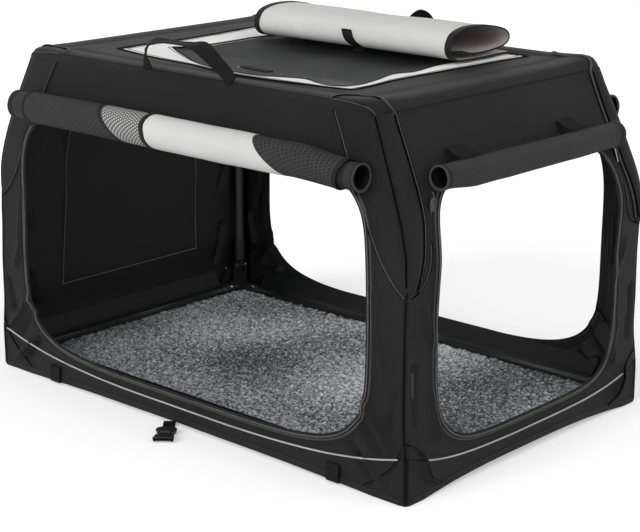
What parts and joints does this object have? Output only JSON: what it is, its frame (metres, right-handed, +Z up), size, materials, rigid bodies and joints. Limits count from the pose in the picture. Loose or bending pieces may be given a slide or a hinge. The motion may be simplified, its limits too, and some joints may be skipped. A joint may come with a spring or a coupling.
{
  "type": "soft folding dog crate",
  "caption": "Soft-sided folding dog crate with a hinged tube frame inside, rolled-up mesh doors, a mesh roof window with its cover rolled back, a fleece mat and carry handles.",
  "frame": {"origin": "middle of the base, on the ground", "axes": "+X along the length, to the end with the doorway; +Y to the back, away from the wide doorway; +Z up"},
  "size_m": [0.9148, 0.7223, 0.6148],
  "materials": {
    "black_polyester": "matt coated woven cloth",
    "light_grey_polyester": "matt woven cloth",
    "dark_mesh": "fine open mesh, drawn here as a thin sheet",
    "grey_fleece": "short curly pile",
    "reflective_piping": "smooth reflective cord",
    "black_webbing": "ribbed webbing",
    "powder_coated_steel": "satin powder coat",
    "black_nylon": "moulded, lightly grained",
    "zinc_plated_steel": "bright zinc plate"
  },
  "bodies": {
    "base": {"base_front_tube": "powder_coated_steel", "base_back_tube": "powder_coated_steel", "base_left_tube": "powder_coated_steel", "base_right_tube": "powder_coated_steel", "base_corner_front_left": "black_nylon", "base_corner_front_right": "black_nylon", "base_corner_back_left": "black_nylon", "base_corner_back_right": "black_nylon", "pivot_pin_front_left": "zinc_plated_steel", "pivot_pin_front_right": "zinc_plated_steel", "pivot_pin_back_left": "zinc_plated_steel", "pivot_pin_back_right": "zinc_plated_steel", "floor_tray": "black_polyester", "floor_mat": "grey_fleece", "seam_piping": "reflective_piping", "hem_loop_left": "black_webbing", "hem_loop_right": "black_webbing", "front_wall": "black_polyester", "back_wall": "black_polyester", "left_wall": "black_polyester", "right_wall": "black_polyester"},
    "left_end": {"left_front_post": "powder_coated_steel", "left_back_post": "powder_coated_steel", "left_front_post_foot": "black_nylon", "left_back_post_foot": "black_nylon", "left_front_elbow": "black_nylon", "left_back_elbow": "black_nylon", "left_crossbar": "powder_coated_steel"},
    "right_end": {"right_front_post": "powder_coated_steel", "right_back_post": "powder_coated_steel", "right_front_post_foot": "black_nylon", "right_back_post_foot": "black_nylon", "right_front_elbow": "black_nylon", "right_back_elbow": "black_nylon", "right_crossbar": "powder_coated_steel"},
    "roof": {"roof_front_tube": "powder_coated_steel", "roof_back_tube": "powder_coated_steel", "roof_left_tube": "powder_coated_steel", "roof_right_tube": "powder_coated_steel", "roof_corner_front_left": "black_nylon", "roof_corner_front_right": "black_nylon", "roof_corner_back_left": "black_nylon", "roof_corner_back_right": "black_nylon", "roof_panel": "black_polyester", "roof_window_border": "light_grey_polyester", "roof_window_mesh": "dark_mesh", "roof_cover_roll": "light_grey_polyester", "roof_roll_strap": "black_webbing", "front_door_roll": "black_polyester", "front_door_cover_roll": "light_grey_polyester", "back_door_roll": "black_polyester", "right_door_roll": "black_polyester"},
    "front_handle": {"front_handle": "black_webbing"},
    "back_handle": {"back_handle": "black_webbing"},
    "front_strap": {"front_closing_strap": "black_webbing", "female_buckle": "black_nylon"},
    "back_strap": {"back_closing_strap": "black_webbing", "male_buckle": "black_nylon"},
    "roof_zip_slider": {"roof_zip_slider": "zinc_plated_steel"},
    "right_door_zip_pull": {"right_door_zip_pull": "black_webbing"}
  },
  "joints": [
    {"name": "left_end_fold", "type": "hinge", "parent": "base", "child": "left_end", "pos_m": [-0.435, 0, 0.065], "axis": [0, 1, 0], "range_deg": [0, 82]},
    {"name": "right_end_fold", "type": "hinge", "parent": "base", "child": "right_end", "pos_m": [0.435, 0, 0.14], "axis": [0, 1, 0], "range_deg": [-90.1, 0]},
    {"name": "roof_drop", "type": "slide", "parent": "base", "child": "roof", "axis": [0, 0, -1], "range_m": [0, 0.3395], "deforming": ["front_wall", "back_wall", "left_wall", "right_wall"]},
    {"name": "front_handle_swing", "type": "hinge", "parent": "roof", "child": "front_handle", "pos_m": [0, -0.2719, 0.5587], "axis": [1, 0, 0], "range_deg": [-65, 150]},
    {"name": "back_handle_swing", "type": "hinge", "parent": "roof", "child": "back_handle", "pos_m": [0, 0.2719, 0.5587], "axis": [1, 0, 0], "range_deg": [-150, 65]},
    {"name": "front_strap_swing", "type": "hinge", "parent": "base", "child": "front_strap", "pos_m": [0, -0.2937, 0.0045], "axis": [1, 0, 0], "range_deg": [-75, 0]},
    {"name": "back_strap_swing", "type": "hinge", "parent": "base", "child": "back_strap", "pos_m": [0, 0.2937, 0.0045], "axis": [1, 0, 0], "range_deg": [0, 75]},
    {"name": "roof_zip_slide", "type": "slide", "parent": "roof", "child": "roof_zip_slider", "axis": [1, 0, 0], "range_m": [-0.3, 0.215]},
    {"name": "right_door_zip_pull_swing", "type": "hinge", "parent": "roof", "child": "right_door_zip_pull", "pos_m": [0.43146, -0.214, 0.4275], "axis": [0, 1, 0], "range_deg": [-60, 0]}
  ],
  "couplings": [
    {"joint": "right_end_fold", "follows": "left_end_fold", "ratio": -1.0976},
    {"joint": "roof_drop", "follows": "left_end_fold", "m_per_rad": 0.23687}
  ]
}
